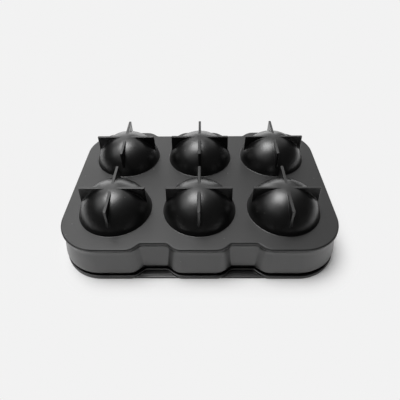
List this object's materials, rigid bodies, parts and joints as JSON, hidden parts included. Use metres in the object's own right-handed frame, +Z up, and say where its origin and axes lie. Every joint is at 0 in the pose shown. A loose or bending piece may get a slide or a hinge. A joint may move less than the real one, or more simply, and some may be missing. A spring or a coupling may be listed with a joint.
{
  "type": "ice ball mold",
  "caption": "Flexible silicone mould for ice balls: a deep tray of domed cups with cross-shaped feet, and a nesting lid with fill holes and pull tabs.",
  "frame": {"origin": "centre of the lid's flat face, on the table that the mould stands on, upside down as pictured", "axes": "+X to the right along the long side, +Y to the rear, +Z up through the tray's domes and cross feet; in use +Z points down"},
  "size_m": [0.1806, 0.1256, 0.0475],
  "materials": {
    "tray_silicone": "matte moulded silicone, near black",
    "lid_silicone": "matte moulded silicone, near black"
  },
  "bodies": {
    "lid": {"lid_plate": "lid_silicone", "lid_rim": "lid_silicone", "lid_cup_front_left": "lid_silicone", "lid_cup_front_middle": "lid_silicone", "lid_cup_front_right": "lid_silicone", "lid_cup_rear_left": "lid_silicone", "lid_cup_rear_middle": "lid_silicone", "lid_cup_rear_right": "lid_silicone", "pull_tab_front_left": "lid_silicone", "pull_tab_front_right": "lid_silicone", "pull_tab_rear_left": "lid_silicone", "pull_tab_rear_right": "lid_silicone"},
    "tray": {"tray_deck": "tray_silicone", "tray_skirt": "tray_silicone", "tray_cup_front_left": "tray_silicone", "tray_cup_front_middle": "tray_silicone", "tray_cup_front_right": "tray_silicone", "tray_cup_rear_left": "tray_silicone", "tray_cup_rear_middle": "tray_silicone", "tray_cup_rear_right": "tray_silicone", "cross_foot_front_left": "tray_silicone", "cross_foot_front_middle": "tray_silicone", "cross_foot_front_right": "tray_silicone", "cross_foot_rear_left": "tray_silicone", "cross_foot_rear_middle": "tray_silicone", "cross_foot_rear_right": "tray_silicone"}
  },
  "joints": [
    {"name": "tray_lift", "type": "slide", "parent": "lid", "child": "tray", "axis": [0, 0, 1], "range_m": [0, 0.06]}
  ]
}
